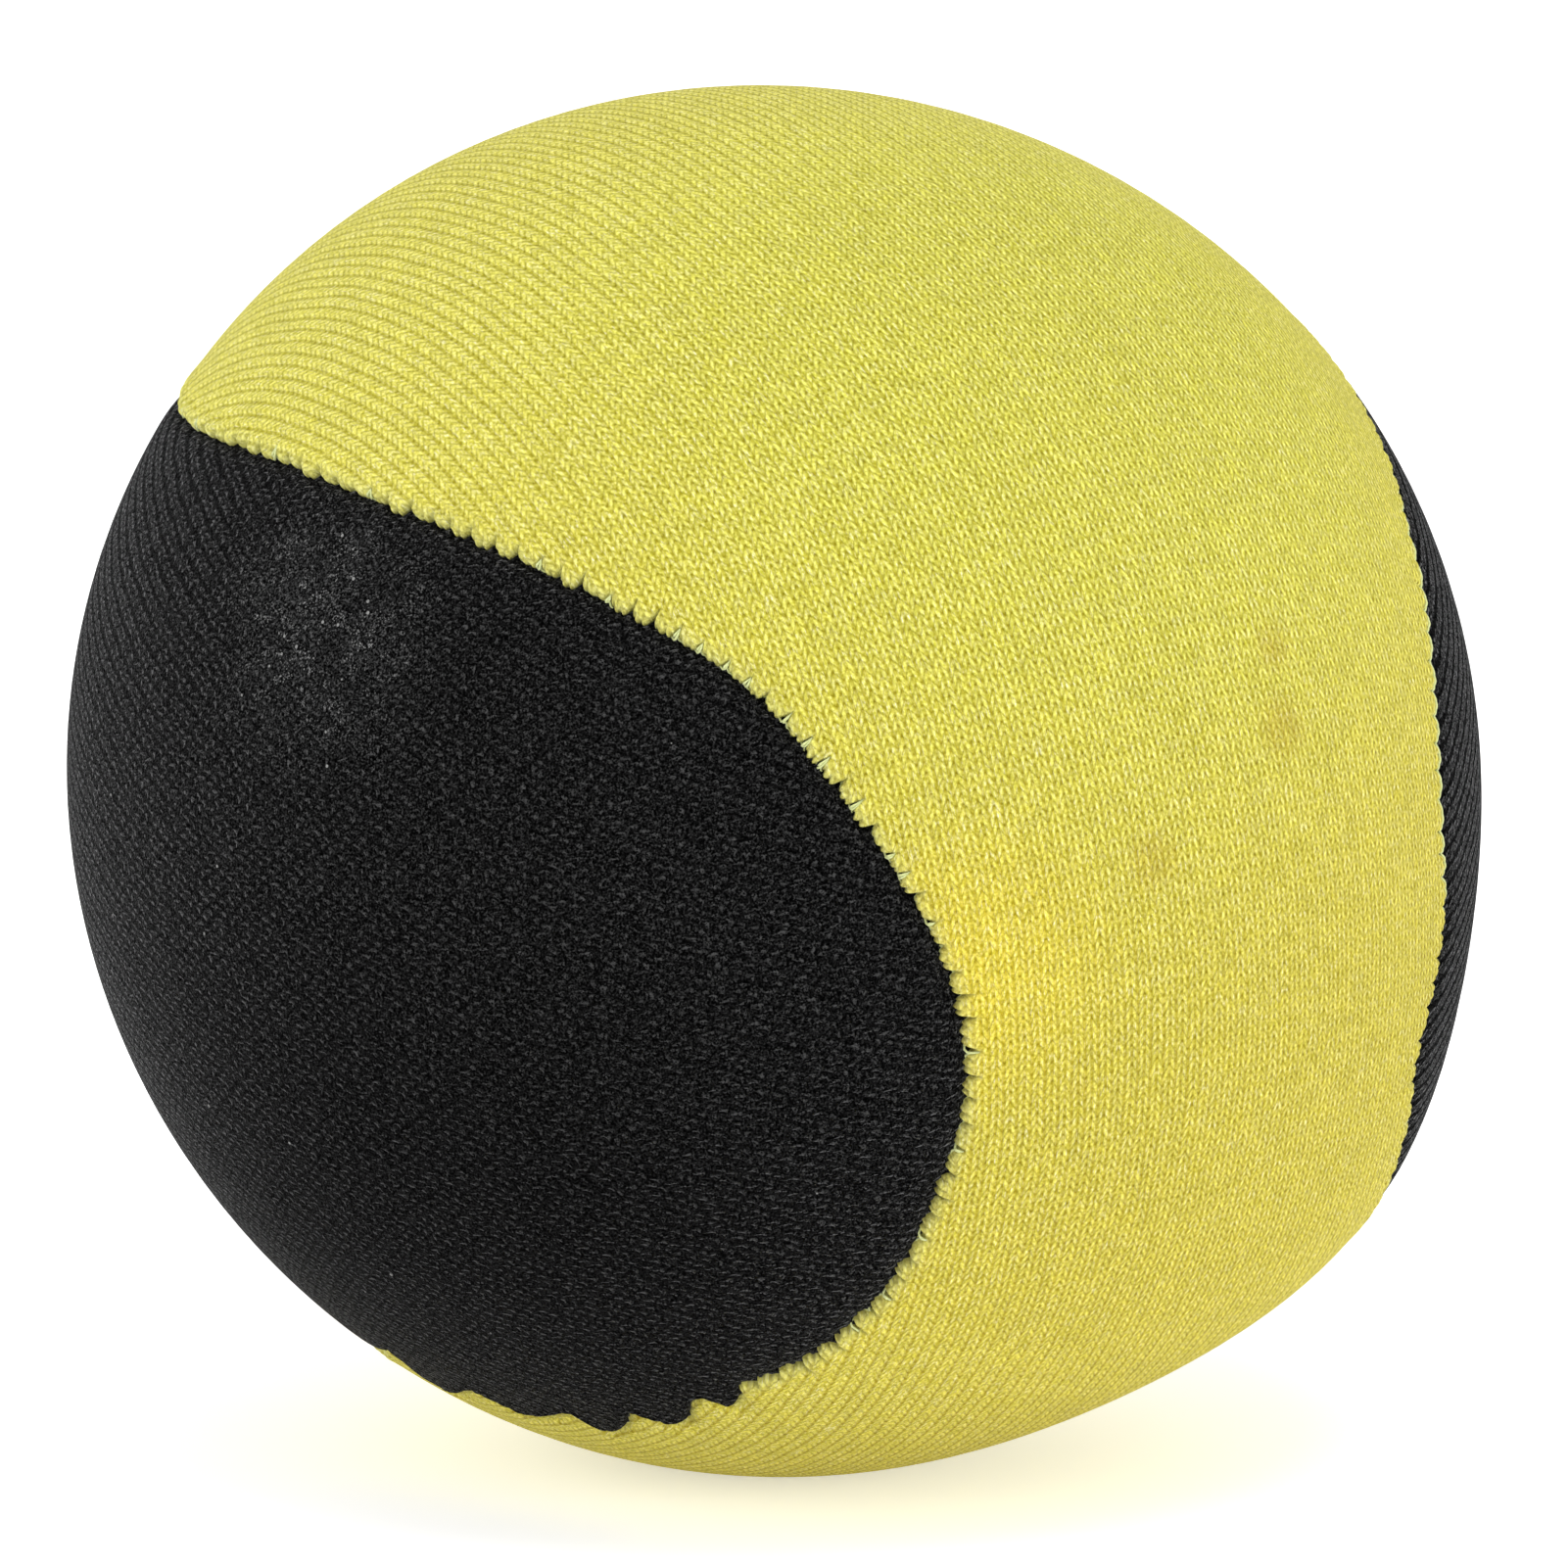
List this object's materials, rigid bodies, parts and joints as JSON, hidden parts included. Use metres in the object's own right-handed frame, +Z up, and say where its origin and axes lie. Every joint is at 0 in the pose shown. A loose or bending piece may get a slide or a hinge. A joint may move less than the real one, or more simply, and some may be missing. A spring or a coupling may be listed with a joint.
{
  "type": "gel play ball",
  "caption": "Soft gel play ball in a stretched two-panel knitted cover, sewn along one wavy tennis-ball seam and resting on a small flat.",
  "frame": {"origin": "middle of the ball's footprint, on the plane that it rests on", "axes": "+Z up, -Y towards the front, the side that shows the black lobe on the left and the yellow waist on the right, +X to the right"},
  "size_m": [0.056, 0.055, 0.0547],
  "materials": {
    "gel": "soft, slightly tacky, translucent gel",
    "yellow_jersey": "stretched nylon-elastane single jersey, lemon yellow, slight sheen on the stitches",
    "black_jersey": "stretched nylon-elastane jersey, black, a little dusty",
    "seam_yarn": "textured polyester thread, pale yellow-green",
    "closing_yarn": "textured polyester thread, black"
  },
  "bodies": {
    "root": {"gel_core": "gel", "yellow_panel": "yellow_jersey", "black_panel": "black_jersey", "needle_thread": "seam_yarn", "looper_thread": "seam_yarn", "closing_thread": "closing_yarn"}
  },
  "joints": []
}
